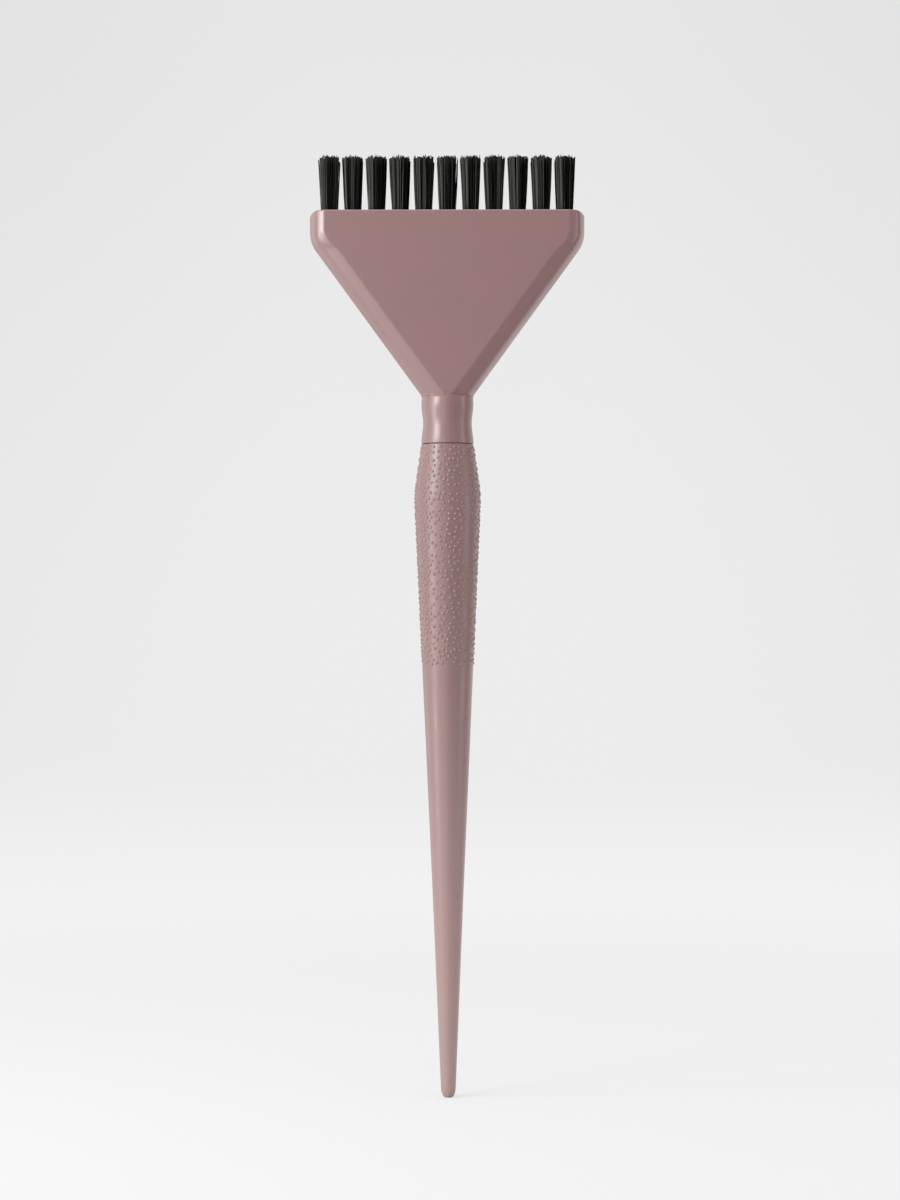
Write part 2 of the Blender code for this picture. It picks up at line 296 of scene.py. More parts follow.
def mirrored_level(tree, x, y, distance):
    """How much of its tone the paper shows in a reflection, by the direction from the brush."""
    rightward = math_node(tree, "DIVIDE", x, distance)
    backward = math_node(tree, "DIVIDE", y, distance)
    left = span_node(tree, rightward, *LEFT_TO_RIGHT, MIRRORED_LEFT, MIRRORED_RIGHT)
    left_share = span_node(tree, backward, *LEFT_FADES, 1.0, MIRRORED_LEFT_BACK)
    left = math_node(tree, "MULTIPLY", left, left_share)
    back = span_node(tree, backward, *SIDE_TO_BACK, MIRRORED_RIGHT, MIRRORED_BACK)
    back_share = span_node(tree, rightward, *BACK_FILLS, MIRRORED_BACK_LEFT, 1.0)
    back = math_node(tree, "MULTIPLY", back, back_share)
    return math_node(tree, "MAXIMUM", left, back)


def studio_paper():
    """Paper that glows in its own tone where it is seen, with a share of lamp light round the tip."""
    material = bpy.data.materials.new("studio_paper")
    material.use_nodes = True
    tree = material.node_tree
    tree.nodes.clear()
    place = new_node(tree, "ShaderNodeNewGeometry")
    split = new_node(tree, "ShaderNodeSeparateXYZ")
    join(tree, place, "Position", split, "Vector")
    x, y, z = split.outputs
    flat = new_node(tree, "ShaderNodeCombineXYZ")
    tree.links.new(x, flat.inputs["X"])
    tree.links.new(y, flat.inputs["Y"])
    length = new_node(tree, "ShaderNodeVectorMath")
    length.operation = "LENGTH"
    join(tree, flat, "Vector", length, 0)
    distance = length.outputs["Value"]
    rays = new_node(tree, "ShaderNodeLightPath")
    glossy_ray = rays.outputs["Is Glossy Ray"]

    glow = new_node(tree, "ShaderNodeEmission")
    tree.links.new(paper_tone(tree, x, z, distance), glow.inputs["Color"])
    change = math_node(tree, "SUBTRACT", mirrored_level(tree, x, y, distance), 1.0)
    change = math_node(tree, "MULTIPLY", change, glossy_ray)
    tree.links.new(math_node(tree, "ADD", change, 1.0), glow.inputs["Strength"])

    paper = add_node(tree, "ShaderNodeBsdfDiffuse", Color=(PAPER_LIT,) * 3 + (1,))
    seen = math_node(tree, "MAXIMUM", rays.outputs["Is Camera Ray"], glossy_ray)
    seen = math_node(tree, "MAXIMUM", seen, rays.outputs["Is Transmission Ray"])
    shown = span_node(tree, distance, SHADOW_NEAR, SHADOW_FAR, 1 - SHADOW_SHARE, 1.0)
    share = math_node(tree, "MULTIPLY", seen, shown)
    front = mix_shaders(tree, share, paper, glow)
    clear = new_node(tree, "ShaderNodeBsdfTransparent")
    sides = mix_shaders(tree, place.outputs["Backfacing"], front, clear)
    out = new_node(tree, "ShaderNodeOutputMaterial")
    join(tree, sides, 0, out, "Surface")
    return material


bowl.data.materials.append(studio_paper())
print("paper tones:", PAPER_NEAR, PAPER_FAR, PAPER_HIGH)

# %% [markdown]
# Seven soft panels light the brush. Two on the left draw the stripe that runs down the neck and the
# handle, and a narrow one on the right draws a weaker stripe. A level camera sees a lamp in a round
# surface halfway between itself and the lamp, so a stripe 26 degrees round to the left means a lamp 52
# degrees round. The others soften the shadows: one high on the left, one above, one behind, and a wide
# dim one on the right that no reflection shows. The camera sees none of them, so another view can't
# catch one.

# %% Hang the lamps
LAMPS = {
    "key_high": {"aim": 0.15, "round": -52, "up": 18, "away": 0.38, "size": (0.12, 0.15), "watts": 0.56},
    "key_low": {"aim": 0.14, "round": -63, "up": -6, "away": 0.6, "size": (0.16, 0.20), "watts": 0.55},
    "side_panel": {"aim": 0.14, "round": -78, "up": 36, "away": 0.6, "size": (0.14, 0.20), "watts": 0.8},
    "top_panel": {"aim": 0.20, "round": -30, "up": 80, "away": 0.6, "size": (0.30, 0.20), "watts": 0.6},
    "fill_strip": {"aim": 0.14, "round": 74, "up": 4, "away": 0.6, "size": (0.12, 0.36), "watts": 0.30},
    "rim_strip": {"aim": 0.14, "round": -130, "up": 10, "away": 0.6, "size": (0.20, 0.50), "watts": 0.16},
    "right_panel": {"aim": 0.14, "round": 55, "up": 20, "away": 0.8, "size": (0.50, 0.50), "watts": 0.7},
}
UNMIRRORED = ("right_panel",)  # lamps too wide and dim to draw a stripe
AMBIENT = 0.92  # light from all round
AMBIENT_MIRRORED = 0.20  # what a reflection sees of it


def hang_lamp(name, facts):
    """A panel that looks at a height on the brush's axis, from an angle round it and an angle up."""
    lamp = bpy.data.lights.new(name, "AREA")
    lamp.shape = "RECTANGLE"
    lamp.size, lamp.size_y = facts["size"]
    lamp.energy = facts["watts"]
    obj = add_object(name, lamp)
    turn, rise = math.radians(facts["round"]), math.radians(facts["up"])
    back = Vector((math.sin(turn) * math.cos(rise), -math.cos(turn) * math.cos(rise), math.sin(rise)))
    obj.location = Vector((0, 0, facts["aim"])) + back * facts["away"]
    obj.rotation_euler = (-back).to_track_quat("-Z", "Y").to_euler()
    obj.visible_camera = False
    obj.visible_glossy = name not in UNMIRRORED


def surrounding_light():
    """An even light from all round, dimmer in reflections, with a pale background for the camera."""
    world = bpy.data.worlds.new("studio_air")
    world.use_nodes = True
    tree = world.node_tree
    tree.nodes.clear()
    rays = new_node(tree, "ShaderNodeLightPath")
    light = add_node(tree, "ShaderNodeBackground", Color=(1, 1, 1, 1))
    level = span_node(tree, rays.outputs["Is Glossy Ray"], 0.0, 1.0, AMBIENT, AMBIENT_MIRRORED)
    tree.links.new(level, light.inputs["Strength"])
    seen = add_node(tree, "ShaderNodeBackground", Color=(1, 1, 1, 1), Strength=PAPER_HIGH)
    air = mix_shaders(tree, rays.outputs["Is Camera Ray"], light, seen)
    out = new_node(tree, "ShaderNodeOutputWorld")
    join(tree, air, 0, out, "Surface")
    return world


for lamp_name, lamp_facts in LAMPS.items():
    hang_lamp(lamp_name, lamp_facts)
scene.world = surrounding_light()
print("lamps:", ", ".join(LAMPS))

# %% [markdown]
# A mould leaves its own fine skin on a plastic piece: the steel was spark-eroded or blasted, so the
# surface has a grain of a few tenths of a millimetre. More than one finish here needs it, so it is a
# node group, built once: it puts out a height for a Bump node and a slow tone for the colour. Noise in
# object space has no seams and needs no unwrapping.

# %% Build the mould grain group
NOISE_LOW, NOISE_HIGH = 0.3, 0.7  # most of a noise texture's values lie between these


def new_group(name, inputs, outputs):
    """An empty shader group with named number sockets, and its input and output nodes."""
    group = bpy.data.node_groups.new(name, "ShaderNodeTree")
    for socket, value in inputs.items():
        made = group.interface.new_socket(socket, in_out="INPUT", socket_type="NodeSocketFloat")
        made.default_value = value
    for socket in outputs:
        group.interface.new_socket(socket, in_out="OUTPUT", socket_type="NodeSocketFloat")
    start = new_node(group, "NodeGroupInput")
    end = new_node(group, "NodeGroupOutput")
    return group, start, end


def scaled_noise(tree, coordinates, size, detail, roughness=0.5):
    """A noise texture with a socket for the size of its features."""
    node = add_node(tree, "ShaderNodeTexNoise", Detail=detail, Roughness=roughness)
    tree.links.new(coordinates, node.inputs["Vector"])
    tree.links.new(math_node(tree, "DIVIDE", 1.0, size), node.inputs["Scale"])
    return node.outputs["Fac"]


def mould_grain():
    sizes = {"Grain Size": 0.0003, "Patch Size": 0.012}
    group, start, end = new_group("mould_grain", sizes, ("Height", "Tone"))
    spot = new_node(group, "ShaderNodeTexCoord").outputs["Object"]
    fine = scaled_noise(group, spot, start.outputs["Grain Size"], detail=3.0)
    slow = scaled_noise(group, spot, start.outputs["Patch Size"], detail=4.0, roughness=0.6)
    tone = span_node(group, slow, NOISE_LOW, NOISE_HIGH, 0.0, 1.0)
    group.links.new(fine, end.inputs["Height"])
    group.links.new(tone, end.inputs["Tone"])
    return group


grain_group = mould_grain()
print("group made:", grain_group.name)

# %% [markdown]
# Hands and trays polish a tool where it sticks out. Cycles' Pointiness tells how convex the mesh is at a
# point, and an eased range turns it into a mask that is 1 on raised edges and dots. The plastics use it to
# make those places paler, partly as wear and partly as a painted sheen. A painted mask would need
# unwrapping, and this one follows the shape by itself.

# %% Build the worn and sheen edge group


def worn_sheen_edge():
    group, start, end = new_group("worn_sheen_edge", {"Starts": 0.53, "Full": 0.61}, ("Mask",))
    shape = new_node(group, "ShaderNodeNewGeometry")
    ease = new_node(group, "ShaderNodeMapRange")
    ease.interpolation_type = "SMOOTHSTEP"
    join(group, shape, "Pointiness", ease, "Value")
    join(group, start, "Starts", ease, "From Min")
    join(group, start, "Full", ease, "From Max")
    join(group, ease, "Result", end, "Mask")
    return group


worn_sheen_group = worn_sheen_edge()
print("group made:", worn_sheen_group.name)

# %% [markdown]
# Drawn things carry fine lines, nylon filament and flat brass wire alike. A noise that is stretched along
# Z gives them, since the filaments stand nearly upright. The same group serves both, with its own pitch
# and stretch in each.

# %% Build the drawn line group


def drawn_lines():
    group, start, end = new_group("drawn_lines", {"Pitch": 0.0001, "Stretch": 30.0}, ("Lines",))
    spot = new_node(group, "ShaderNodeTexCoord")
    split = new_node(group, "ShaderNodeSeparateXYZ")
    join(group, spot, "Object", split, "Vector")
    squeezed = math_node(group, "DIVIDE", split.outputs["Z"], start.outputs["Stretch"])
    merge = new_node(group, "ShaderNodeCombineXYZ")
    join(group, split, "X", merge, "X")
    join(group, split, "Y", merge, "Y")
    group.links.new(squeezed, merge.inputs["Z"])
    streaks = scaled_noise(group, merge.outputs["Vector"], start.outputs["Pitch"], detail=2.0)
    lines = span_node(group, streaks, NOISE_LOW, NOISE_HIGH, 0.0, 1.0)
    group.links.new(lines, end.inputs["Lines"])
    return group


line_group = drawn_lines()
print("group made:", line_group.name)

# %% [markdown]
# The head and the handle are the same dusty rose plastic from two moulds, each with its own shade. One
# function makes the finish: the slow tone shifts the colour a little, raised edges are paler and smoother,
# partly as wear and partly as a painted sheen, and the grain goes to a Bump node. The rim round the tufts
# gets a painted highlight, paler and smoother as well. The head's mould is smoother, so its stripe of light
# is narrower. The handle is painted paler towards its thin end, painted light on its lower part, and the
# dots are a little paler than the grip, partly their own colour and partly a painted highlight.

# %% Mix the rose plastic
HEAD_ROSE = (0.256, 0.142, 0.138)
HANDLE_ROSE = (0.252, 0.148, 0.142)
LOWER_HANDLE_PAINTED_LIGHT = (0.368, 0.238, 0.229)  # painted light at the handle's thin end
PAINTED_LIGHT_LOW, PAINTED_LIGHT_HIGH = 0.000, 0.140  # heights between which the painted light fades out
DEEPER = 0.94  # of a colour, in the darkest patches
WEAR_SHEEN_TINT = 1.40  # on raised edges and the rim: partly wear, partly painted sheen and painted highlight
DOT_TINT_AND_HIGHLIGHT = 1.08  # on the dots: partly their own paler colour, partly a painted highlight
RIM_DROP = 0.0004  # how far down the rim round the tufts the painted highlight reaches
RIM_FACING = (0.80, 0.98)  # upward part of the normal, where the rim ends and the top face starts
PATCH_ROUGHNESS = 0.04  # more of it in the darkest patches, less in the palest
POLISH = 0.08  # roughness taken away on the paler edges and rim
GRAIN_STRENGTH = 0.35
MOULDS = {
    "head_rose": {"shine": 1.00, "roughness": 0.32, "grain": 0.00060, "depth": 0.000004, "wear_sheen": 0.35},
    "handle_rose": {"shine": 0.85, "roughness": 0.36, "grain": 0.00028, "depth": 0.000012, "wear_sheen": 0.30},
    "dot_rose": {"shine": 0.95, "roughness": 0.34, "grain": 0.00028, "depth": 0.000004, "wear_sheen": 0.20},
}


def tinted(colour, share):
    return tuple(share * level for level in colour)


def group_node(tree, group, **sockets):
    """A node that uses a group."""
    node = new_node(tree, "ShaderNodeGroup")
    node.node_tree = group
    return set_sockets(node, sockets)


def mix_colours(tree, share, first, second):
    """A Mix node between two colours, each a socket or a triple."""
    node = new_node(tree, "ShaderNodeMix")
    node.data_type = "RGBA"
    tree.links.new(share, node.inputs["Factor"])
    colour_inputs = [socket for socket in node.inputs if socket.type == "RGBA"]
    for socket, colour in zip(colour_inputs, (first, second)):
        if isinstance(colour, tuple):
            socket.default_value = (*colour, 1)
        else:
            tree.links.new(colour, socket)
    return next(socket for socket in node.outputs if socket.type == "RGBA")


def plain_shader(name):
    """A new material, its node tree and its Principled shader."""
    material = bpy.data.materials.new(name)
    material.use_nodes = True
    return material, material.node_tree, material.node_tree.nodes["Principled BSDF"]


def painted_rim_highlight(tree, height):
    """A mask along the rim of the head's top face, and not on that face, for a painted highlight."""
    near_top = span_node(tree, height, HEAD_TOP - RIM_DROP, HEAD_TOP - RIM_DROP / 4, 0.0, 1.0)
    facing = new_node(tree, "ShaderNodeSeparateXYZ")
    join(tree, new_node(tree, "ShaderNodeNewGeometry"), "Normal", facing, "Vector")
    beside = span_node(tree, facing.outputs["Z"], *RIM_FACING, 1.0, 0.0)
    return math_node(tree, "MULTIPLY", near_top, beside)


def rose_plastic(name, rose, lower_painted_light=0.0):
    """Rose plastic with its mould's grain, paler edges of wear and painted sheen, a painted highlight on
    the rim and, if asked for, painted light towards the thin end.
    """
    mould = MOULDS[name]
    material, tree, shader = plain_shader(name)
    grain = group_node(tree, grain_group, Grain_Size=mould["grain"])
    edge = group_node(tree, worn_sheen_group)
    # raised edges are paler: partly wear, partly a painted sheen
    wear_and_sheen = math_node(tree, "MULTIPLY", edge.outputs["Mask"], mould["wear_sheen"])
    place = new_node(tree, "ShaderNodeTexCoord")
    split = new_node(tree, "ShaderNodeSeparateXYZ")
    join(tree, place, "Object", split, "Vector")
    height = split.outputs["Z"]
    # the rim round the tufts gets a painted highlight, paler and smoother
    wear_and_sheen = math_node(tree, "MAXIMUM", wear_and_sheen, painted_rim_highlight(tree, height))
    body = mix_colours(tree, grain.outputs["Tone"], tinted(rose, DEEPER), rose)
    body = mix_colours(tree, wear_and_sheen, body, tinted(rose, WEAR_SHEEN_TINT))
    # painted light: the handle grows paler towards its thin end
    lower_light_share = span_node(tree, height, PAINTED_LIGHT_LOW, PAINTED_LIGHT_HIGH, lower_painted_light, 0.0)
    body = mix_colours(tree, lower_light_share, body, LOWER_HANDLE_PAINTED_LIGHT)
    tree.links.new(body, shader.inputs["Base Color"])
    dull, bright = mould["roughness"] + PATCH_ROUGHNESS, mould["roughness"] - PATCH_ROUGHNESS
    satin = span_node(tree, grain.outputs["Tone"], 0.0, 1.0, dull, bright)
    polish = math_node(tree, "MULTIPLY", wear_and_sheen, POLISH)
    tree.links.new(math_node(tree, "SUBTRACT", satin, polish), shader.inputs["Roughness"])
    shader.inputs["Specular IOR Level"].default_value = mould["shine"]
    bump = add_node(tree, "ShaderNodeBump", Strength=GRAIN_STRENGTH, Distance=mould["depth"])
    join(tree, grain, "Height", bump, "Height")
    join(tree, bump, "Normal", shader, "Normal")
    return material


head_rose = rose_plastic("head_rose", HEAD_ROSE)
handle_rose = rose_plastic("handle_rose", HANDLE_ROSE, lower_painted_light=1.0)
# the dots are a little paler than the grip: partly their own colour, partly a painted highlight
dot_rose = rose_plastic("dot_rose", tinted(HANDLE_ROSE, DOT_TINT_AND_HIGHLIGHT))
print("plastics:", head_rose.name, handle_rose.name, dot_rose.name)

# %% [markdown]
# The head is a loft: level sections from the top face down to the neck. Each section has a flat front and
# back. Beside them runs a band like a shallow chamfer, which turns ever faster towards the side. Band
# and flat meet at a soft crease, the line that the photograph shows beside each flat. A smooth minimum of
# the two heights rounds that crease. An extruded outline with a bevel could not do this, because the
# band is wider beside the slanted sides than beside the upright ones.

# %% Draw outlines with rounded corners
ARC_STEP = math.radians(3)
MOST_OF_SIDE = 0.48  # the share of a side that one arc may take


def rounded_path(corners):
    """Points along straight sides between (r, z, radius) corners, each corner turned by an arc."""
    points = [Vector(corners[0][:2])]
    for before, here, after in zip(corners, corners[1:], corners[2:]):
        corner = Vector(here[:2])
        back = Vector(before[:2]) - corner
        ahead = Vector(after[:2]) - corner
        turn = math.pi - back.angle(ahead)
        reach = min(here[2] * math.tan(turn / 2), MOST_OF_SIDE * back.length, MOST_OF_SIDE * ahead.length)
        if reach <= 0:
            points.append(corner)
            continue
        radius = reach / math.tan(turn / 2)
        inward = (back.normalized() + ahead.normalized()).normalized()
        centre = corner + inward * math.hypot(radius, reach)
        arm = corner + back.normalized() * reach - centre
        sense = math.copysign(1, ahead.x * back.y - ahead.y * back.x)
        steps = max(2, math.ceil(turn / ARC_STEP))
        for step in range(steps + 1):
            points.append(centre + Matrix.Rotation(sense * turn * step / steps, 2) @ arm)
    points.append(Vector(corners[-1][:2]))
    return points


print("arc step:", round(math.degrees(ARC_STEP), 1), "degrees")

# %% Shape one level section of the head
SIDE_BAND = 0.0038  # band from a flat to the middle of an upright side
SLANT_BAND = 0.0045  # the same beside a slanted side, square to it
BAND_SLOPE = math.tan(math.radians(25))  # the band against the flat, at the crease
BAND_TURN = 5  # power of the band's turn towards the side
CREASE_ZONE = 0.0006  # half the width in which the crease is rounded
CREASE_SOFTNESS = 0.00018
BAND_SAMPLES = 20
CREASE_SAMPLES = 10


def soft_lower(first, second):
    """The lower of two heights, with the corner between them rounded."""
    near = max(CREASE_SOFTNESS - abs(first - second), 0) / CREASE_SOFTNESS
    return min(first, second) - near * near * CREASE_SOFTNESS / 4


def quarter_section(half_width, half_depth, band, stretch):
    """(x, y) from the middle of a side, over the band and the crease, to the flat."""
    zone = min(CREASE_ZONE, band / 2)
    outer = (band - zone) / band
    drops = [1 - outer * (i / BAND_SAMPLES) ** 2 for i in range(BAND_SAMPLES)]
    drops += [(zone - 2 * zone * i / CREASE_SAMPLES) / band for i in range(CREASE_SAMPLES + 1)]
    chamfer = min(BAND_SLOPE * band, half_depth / 2)
    points = []
    for drop in drops:
        turn = (half_depth - chamfer) * max(drop, 0) ** BAND_TURN
        height = half_depth - chamfer * drop - turn
        points.append((half_width - stretch * band * (1 - drop), soft_lower(height, half_depth)))
    return points


def full_ring(quarter, z):
    """Mirrors a quarter section into a ring, anticlockwise from +X."""
    ring = [Vector((x, y, z)) for x, y in quarter]
    ring += [Vector((-x, y, z)) for x, y in reversed(quarter)]
    ring += [Vector((-x, -y, z)) for x, y in quarter]
    ring += [Vector((x, -y, z)) for x, y in reversed(quarter)]
    return ring


sample = quarter_section(FAN_HALF_WIDTH, FACE_HALF_DEPTH, SIDE_BAND, 1.0)
flat_start = round(1000 * sample[-1][0], 2)
print("points in a quarter section:", len(sample), "flat starts at x =", flat_start, "mm")

# %% [markdown]
# One outline runs down the whole moulding: the fan, the round neck with its slightly swollen collar and
# its waist, the foot at the seam, and the spigot with its snap bead inside the handle. In the fan the
# outline gives each level section its half width. Where the side leans, the bulging band is stretched
# sideways so that it keeps its width square to the side.

# %% Draw the head's outline
SIDE_HEIGHT = 0.0078  # upright part of the sides
FAN_HEIGHT = 0.0469
TOP_CORNER_RADIUS = 0.0014
SHOULDER_RADIUS = 0.0080
NECK_TOP = HEAD_TOP - FAN_HEIGHT
NECK_RADIUS = 0.00652
NECK_FILLET = 0.0020  # where the slanted sides run into the neck
COLLAR_RADIUS, COLLAR_DROP = 0.00668, 0.0026  # drops are from the neck's top
WAIST_RADIUS, WAIST_DROP = 0.00609, 0.0068
FOOT_RADIUS = 0.00664
FOOT_LENGTH = 0.0010
NECK_SOFTNESS = 0.012  # radius of the collar's and the waist's curves
SEAM_SHOWN = 0.00014  # gap between head and handle
RIM_RADIUS = 0.00014  # of the two rims at the seam
SPIGOT_RADIUS = 0.0041
SPIGOT_CHAMFER = 0.0008
SPIGOT_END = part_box("head")[0].z
BEAD_HEIGHT = 0.00035
BEAD_HALF = 0.0010
BEAD_RISE = 0.0050
BEAD_MIDDLE = SPIGOT_END + BEAD_RISE


def head_outline():
    """(radius, z) down the moulding's right side, from the fan's top corner to the spigot's end."""
    foot = HANDLE_TOP + SEAM_SHOWN
    bead = SPIGOT_RADIUS + BEAD_HEIGHT
    return rounded_path(
        [
            (0, HEAD_TOP, 0),
            (FAN_HALF_WIDTH, HEAD_TOP, TOP_CORNER_RADIUS),
            (FAN_HALF_WIDTH, HEAD_TOP - SIDE_HEIGHT, SHOULDER_RADIUS),
            (NECK_RADIUS, NECK_TOP, NECK_FILLET),
            (COLLAR_RADIUS, NECK_TOP - COLLAR_DROP, NECK_SOFTNESS),
            (WAIST_RADIUS, NECK_TOP - WAIST_DROP, NECK_SOFTNESS),
            (FOOT_RADIUS, foot + FOOT_LENGTH, FOOT_LENGTH),
            (FOOT_RADIUS, foot, RIM_RADIUS),
            (SPIGOT_RADIUS, foot, 0),
            (SPIGOT_RADIUS, BEAD_MIDDLE + BEAD_HALF, 0),
            (bead, BEAD_MIDDLE + BEAD_HALF - BEAD_HEIGHT, 0),
            (bead, BEAD_MIDDLE - BEAD_HALF + BEAD_HEIGHT, 0),
            (SPIGOT_RADIUS, BEAD_MIDDLE - BEAD_HALF, 0),
            (SPIGOT_RADIUS, SPIGOT_END + SPIGOT_CHAMFER, 0),
            (SPIGOT_RADIUS - SPIGOT_CHAMFER, SPIGOT_END, 0),
        ]
    )[1:]


outline = head_outline()
print("outline points:", len(outline), "neck top at", round(1000 * NECK_TOP, 1), "mm")

# %% [markdown]
# The collar is a little thicker than the fan, so its rounded top edge shows as a ledge below the flat
# face, with two small glints. The fan's last section is pushed out to a circle along a quarter of an
# ellipse, which makes that edge. All rings have the same number of points, so faces run straight from
# the fan through the ledge and down the neck.

# %% Stack the head's sections
FACE_EDGE_RADIUS = 0.0004
LEDGE_ROUNDING = 0.00045
LEDGE_STEPS = 8


def lean(upper, lower):
    """Angle from upright of the outline between two of its points."""
    return math.atan2(upper.x - lower.x, upper.y - lower.y)


def side_at(path, z):
    """Radius and outward slope at a height, on a path that runs downwards."""
    for upper, lower in zip(path, path[1:]):
        if lower.y <= z <= upper.y and upper.y > lower.y:
            share = (upper.y - z) / (upper.y - lower.y)
            return upper.x + share * (lower.x - upper.x), (lower.x - upper.x) / (upper.y - lower.y)


def towards_circle(ring, z, radius, share=1.0):
    """A ring at another height, with each point moved towards a circle."""
    moved = []
    for point in ring:
        flat = point.to_2d()
        flat *= 1 + share * (radius / flat.length - 1)
        moved.append(Vector((flat.x, flat.y, z)))
    return moved


def fan_rings():
    """Sections from the top face to the neck, with the band wider where the side leans."""
    slant = max(lean(a, b) for a, b in zip(outline, outline[1:]) if HEAD_TOP - SIDE_HEIGHT > b.y > NECK_TOP)
    rings = []
    tilt = 0
    for before, here, after in zip(outline[:1] + outline, outline, outline[1:]):
        half_width, z = here
        if z <= NECK_TOP:
            return rings
        drop = HEAD_TOP - z
        short = max(FACE_EDGE_RADIUS - drop, 0)
        half_depth = FACE_HALF_DEPTH - FACE_EDGE_RADIUS + math.sqrt(FACE_EDGE_RADIUS**2 - short**2)
        if drop < TOP_CORNER_RADIUS:
            band = SIDE_BAND - (FAN_HALF_WIDTH - half_width)
        else:
            tilt = max(tilt, lean(before, after))
            band = SIDE_BAND + (SLANT_BAND - SIDE_BAND) * tilt / slant
        rings.append(full_ring(quarter_section(half_width, half_depth, band, 1 / math.cos(tilt)), z))


def neck_rings(pattern):
    """Round sections with the last fan section's points: the ledge, the neck and the spigot."""
    rings = []
    for step in range(LEDGE_STEPS + 1):
        angle = math.pi / 2 * step / LEDGE_STEPS
        z = NECK_TOP - LEDGE_ROUNDING * (1 - math.cos(angle))
        rings.append(towards_circle(pattern, z, side_at(outline, z)[0], math.sin(angle)))
    for radius, z in outline:
        if z < NECK_TOP - LEDGE_ROUNDING:
            rings.append(towards_circle(pattern, z, radius))
    return rings


def skin(name, rings):
    """A closed mesh through rings that run from top to bottom."""
    bm = bmesh.new()
    loops = [[bm.verts.new(point) for point in ring] for ring in rings]
    count = len(loops[0])
    bm.faces.new(loops[0])
    for upper, lower in zip(loops, loops[1:]):
        for i in range(count):
            j = (i + 1) % count
            bm.faces.new((upper[i], lower[i], lower[j], upper[j]))
    bm.faces.new(list(reversed(loops[-1])))
    bmesh.ops.remove_doubles(bm, verts=bm.verts, dist=MERGE_DISTANCE)
    bmesh.ops.recalc_face_normals(bm, faces=bm.faces)
    mesh = bpy.data.meshes.new(name)
    bm.to_mesh(mesh)
    bm.free()
    return mesh


fan = fan_rings()
head_mesh = skin("head_moulding", fan + neck_rings(fan[-1]))
print("fan sections:", len(fan), "faces before drilling:", len(head_mesh.polygons))

# %% [markdown]
# Each tuft sits in a blind hole. The holes are drilled with one Boolean modifier that takes a whole
# collection of cutters, and a small Bevel breaks their rims, as a moulded rim never is knife-sharp. The
# Weighted Normal modifier keeps the flats flat to the light beside the rounded edges.

# %% Drill the tuft holes and finish the head
HOLE_RADIUS = 0.0021
HOLE_DEPTH = 0.0063
HOLE_SIDES = 40
HOLE_RIM = 0.00012
CUT_MARGIN = 0.001
RIM_ANGLE = math.radians(70)  # only edges sharper than this are broken
RIM_STEPS = 2
SHARP_ANGLE = math.radians(40)


def hole_cutters():
    """A collection of cylinders, one in the place of each hole."""
    cutters = bpy.data.collections.new("hole_cutters")
    bm = bmesh.new()
    bmesh.ops.create_cone(
        bm,
        cap_ends=True,
        segments=HOLE_SIDES,
        radius1=HOLE_RADIUS,
        radius2=HOLE_RADIUS,
        depth=HOLE_DEPTH + CUT_MARGIN,
        matrix=Matrix.Translation((0, 0, (CUT_MARGIN - HOLE_DEPTH) / 2)),
    )
    mesh = bpy.data.meshes.new("hole_cutter")
    bm.to_mesh(mesh)
    bm.free()
    for name, place in hole_places.items():
        cutter = bpy.data.objects.new("cutter_" + name, mesh)
        cutter.location = (place.x, place.y, HEAD_TOP)
        cutters.objects.link(cutter)
    return cutters


def as_piece(obj, slot, material, *nodes):
    """Rides on the brush, takes its material and stands for these solids, which it hides; the slot is not
    used.
    """
    obj.data.materials.append(material)
    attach(obj, "root")
    if nodes:
        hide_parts(*nodes)


def drilled(obj, cutters):
    """The object's mesh with every cutter in the collection taken out."""
    scene.collection.children.link(cutters)
    drill = obj.modifiers.new("tuft_holes", "BOOLEAN")
    drill.operand_type = "COLLECTION"
    drill.collection = cutters
    bpy.context.view_layer.update()
    mesh = bpy.data.meshes.new_from_object(obj.evaluated_get(bpy.context.evaluated_depsgraph_get()))
    obj.modifiers.remove(drill)
    for cutter in list(cutters.objects):
        bpy.data.objects.remove(cutter)
    bpy.data.collections.remove(cutters)
    return mesh


head = add_object("head_moulding", head_mesh)
head.data = drilled(head, hole_cutters())
head.data.materials.clear()
head.data.shade_smooth()
head.data.set_sharp_from_angle(angle=SHARP_ANGLE)
rims = head.modifiers.new("hole_rims", "BEVEL")
rims.limit_method = "ANGLE"
rims.angle_limit = RIM_ANGLE
rims.width = HOLE_RIM
rims.segments = RIM_STEPS
flats = head.modifiers.new("flat_light", "WEIGHTED_NORMAL")
flats.keep_sharp = True
as_piece(head, "head_plastic", head_rose, "head")
print("head after drilling:", len(head.data.polygons), "faces")

# %% [markdown]
# The handle is a turned shape, so it is one profile and a Screw modifier: up the socket, over the rim,
# down the swelling grip and the long taper, and round the tip. The swell is one arc of 25 mm between two
# nearly straight runs, and a tiny flat lets the brush stand.

# %% Turn the handle
HANDLE_STEPS = 144
SOCKET_RADIUS = 0.0043
SOCKET_PLAY = 0.0002  # below the spigot's end
SOCKET_FLOOR = SPIGOT_END - SOCKET_PLAY
GRIP_TOP_RADIUS = 0.0066
GRIP_RADIUS = 0.00845  # where the flare and the taper would meet unrounded
GRIP_DROP = 0.0128  # seam to that meeting point
GRIP_ARC = 0.025
TAPER_RADIUS = 0.00385
TAPER_HEIGHT = 0.050
TAPER_ARC = 6.0
TIP_RADIUS = 0.001925
TIP_LENGTH = 0.0028
TIP_FLAT = 0.0008
TIP_STEPS = 14


